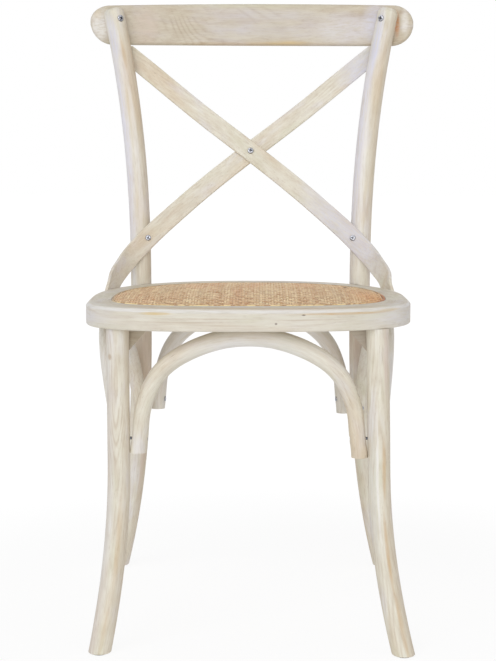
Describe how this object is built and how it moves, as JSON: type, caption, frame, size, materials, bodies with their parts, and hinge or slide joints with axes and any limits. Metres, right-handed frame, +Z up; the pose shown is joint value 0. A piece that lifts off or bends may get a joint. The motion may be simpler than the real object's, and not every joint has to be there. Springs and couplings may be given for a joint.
{
  "type": "cross back dining chair",
  "caption": "Wooden dining chair with a crossed slat back, splayed bentwood legs, a woven cane seat and curved stretcher hoops.",
  "frame": {"origin": "on the floor, under the middle of the chair's bounds", "axes": "+Z up, +X to the right of someone looking at the chair's front, the sitter faces -Y"},
  "size_m": [0.4906, 0.4912, 0.89],
  "materials": {
    "limed_wood": "limed open-grain hardwood with a matt clear coat",
    "raw_board": "plain shaped board",
    "woven_cane": "closely woven natural cane, satin",
    "bright_steel": "bright plated steel",
    "dark_plastic": "plain moulded glides"
  },
  "bodies": {
    "root": {"rear_leg_left": "limed_wood", "rear_leg_right": "limed_wood", "front_leg_left": "limed_wood", "front_leg_right": "limed_wood", "crest_rail": "limed_wood", "cross_slat_front": "limed_wood", "cross_slat_rear": "limed_wood", "seat_ring": "limed_wood", "hoop_front": "limed_wood", "hoop_rear": "limed_wood", "hoop_left": "limed_wood", "hoop_right": "limed_wood", "corner_blocks": "limed_wood", "seat_board": "raw_board", "cane_seat": "woven_cane", "foot_glides": "dark_plastic", "crest_rail_screws": "bright_steel", "slat_post_screws": "bright_steel", "slat_top_screws": "bright_steel", "slat_foot_screws": "bright_steel", "hoop_leg_screws": "bright_steel", "hoop_crown_screws": "bright_steel", "seat_board_screws": "bright_steel", "rear_leg_bolts": "bright_steel", "rear_leg_nuts": "bright_steel", "rear_leg_washers": "bright_steel", "cross_bolt": "bright_steel", "cross_nut": "bright_steel"}
  },
  "joints": []
}
